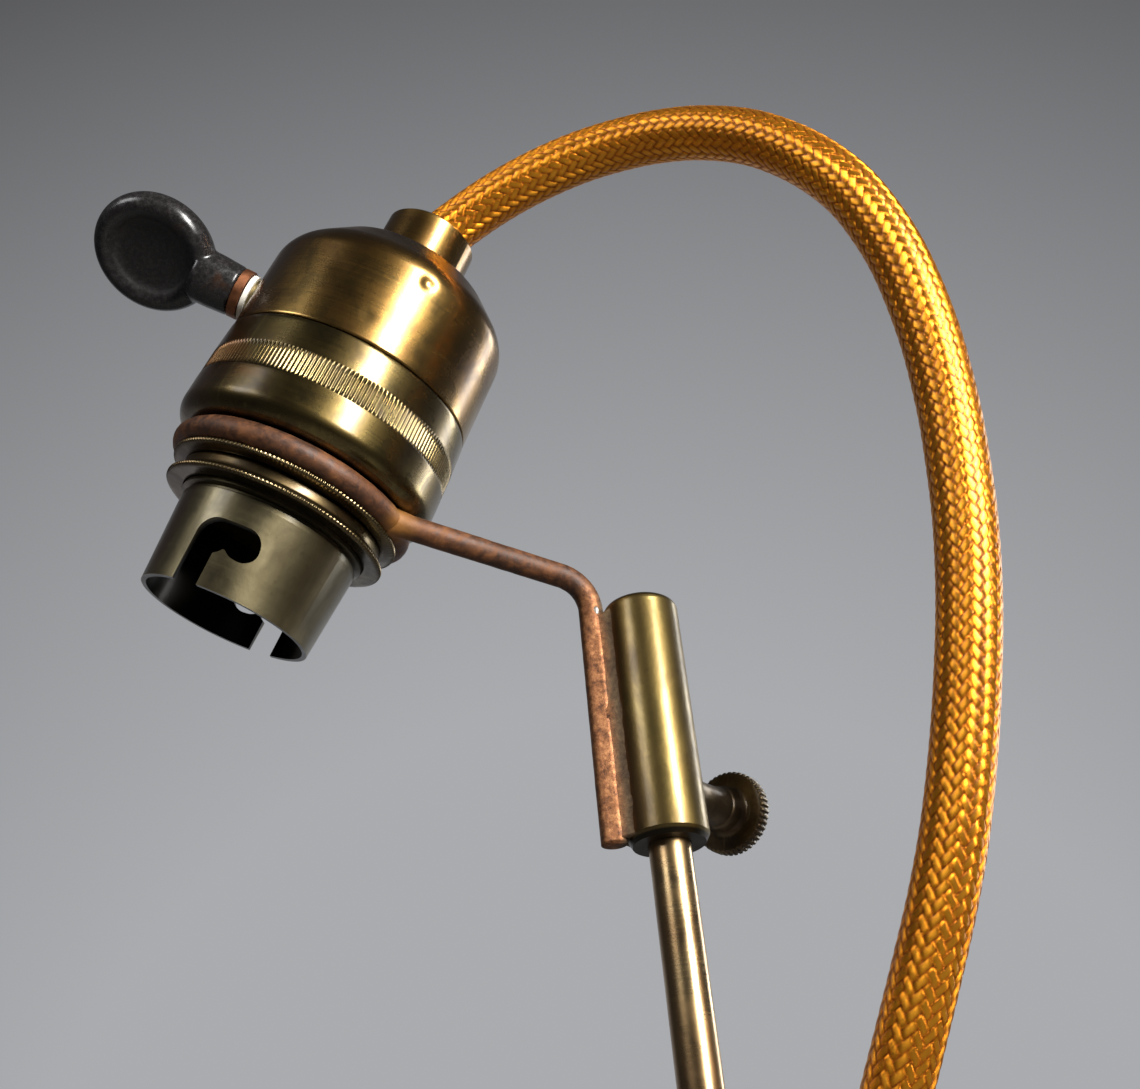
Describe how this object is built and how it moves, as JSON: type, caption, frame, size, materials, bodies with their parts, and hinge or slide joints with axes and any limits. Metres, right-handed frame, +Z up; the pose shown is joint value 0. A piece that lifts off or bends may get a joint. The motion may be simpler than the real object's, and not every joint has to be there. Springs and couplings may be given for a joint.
{
  "type": "adjustable rod table lamp",
  "caption": "Vintage brass rod lamp: tilted key-switch bayonet lampholder on a wire arm, clamp sleeve with thumbscrew, braided flex to a plug, round weighted foot.",
  "frame": {"origin": "centre of the underside of the round foot", "axes": "+Z up along the rod; -Y towards the front, the side the key faces; +X to the right seen from the front"},
  "size_m": [0.1691, 0.2299, 0.3941],
  "materials": {
    "satin_brass": "satin, worn",
    "old_brass": "patinated",
    "dark_brass": "dark brown patina",
    "rusty_steel": "rusty, filed",
    "braze": "dull grey-brown",
    "iron": "rough",
    "steel": "plain",
    "copper_band": "copper-red, worn",
    "ebonite": "worn, partly polished",
    "bakelite": "polished",
    "insulation": "matt",
    "vulcan_fibre": "matt",
    "felt": "felt",
    "braid": "glossy braid",
    "core": "matt",
    "tie": "woven"
  },
  "bodies": {
    "base": {"base_felt": "felt", "base_weight": "iron", "base_shell": "old_brass", "rod_socket": "satin_brass", "socket_washer": "steel", "socket_nut": "steel", "cord_lower": "braid", "cord_coil": "braid", "cord_tail": "braid", "cord_tie": "tie", "plug_body": "bakelite", "plug_front": "bakelite", "plug_pins": "satin_brass", "plug_screw": "satin_brass"},
    "rod": {"rod": "satin_brass"},
    "head": {"clamp_sleeve": "satin_brass", "arm_ring": "rusty_steel", "arm_run": "rusty_steel", "arm_leg": "rusty_steel", "solder_fillet": "braze", "skirt": "satin_brass", "lower_shade_ring": "old_brass", "upper_shade_ring": "old_brass", "lower_shell": "old_brass", "cap": "old_brass", "cord_grip": "old_brass", "cord_bush": "insulation", "insulator": "insulation", "spring_a": "steel", "spring_b": "steel", "terminal_posts": "satin_brass", "terminal_screws": "satin_brass", "contact_blades": "copper_band", "core_wires": "core", "key_bush": "satin_brass", "fibre_washer": "vulcan_fibre", "cord_upper": "braid"},
    "thumbscrew": {"thumbscrew": "dark_brass"},
    "key": {"key_ferrule": "copper_band", "key_spindle": "satin_brass", "key_rotor": "bakelite", "key_paddle": "ebonite"},
    "plunger_a": {"plunger_a": "steel"},
    "plunger_b": {"plunger_b": "steel"}
  },
  "joints": [
    {"name": "rod_swivel", "type": "hinge", "parent": "base", "child": "rod", "pos_m": [0, 0, 0.02], "axis": [0, 0, 1], "range_deg": [-60, 60], "deforming": ["cord_lower"]},
    {"name": "head_slide", "type": "slide", "parent": "rod", "child": "head", "axis": [0, 0, 1], "range_m": [-0.08, 0], "deforming": ["cord_upper"]},
    {"name": "thumbscrew_turn", "type": "hinge", "parent": "head", "child": "thumbscrew", "pos_m": [0, 0, 0.2987], "axis": [0.5736, 0.8192, 0], "range_deg": [0, 540]},
    {"name": "key_turn", "type": "hinge", "parent": "head", "child": "key", "pos_m": [-0.03664, -0.01795, 0.36289], "axis": [-0.8513, -0.3688, 0.3731], "range_deg": [0, 90]},
    {"name": "plunger_a_slide", "type": "slide", "parent": "head", "child": "plunger_a", "axis": [0.4439, -0.1273, 0.887], "range_m": [0, 0.0025], "stiffness_N_per_m": 600, "springref_m": -0.002, "deforming": ["spring_a"]},
    {"name": "plunger_b_slide", "type": "slide", "parent": "head", "child": "plunger_b", "axis": [0.4439, -0.1273, 0.887], "range_m": [0, 0.0025], "stiffness_N_per_m": 600, "springref_m": -0.002, "deforming": ["spring_b"]}
  ]
}
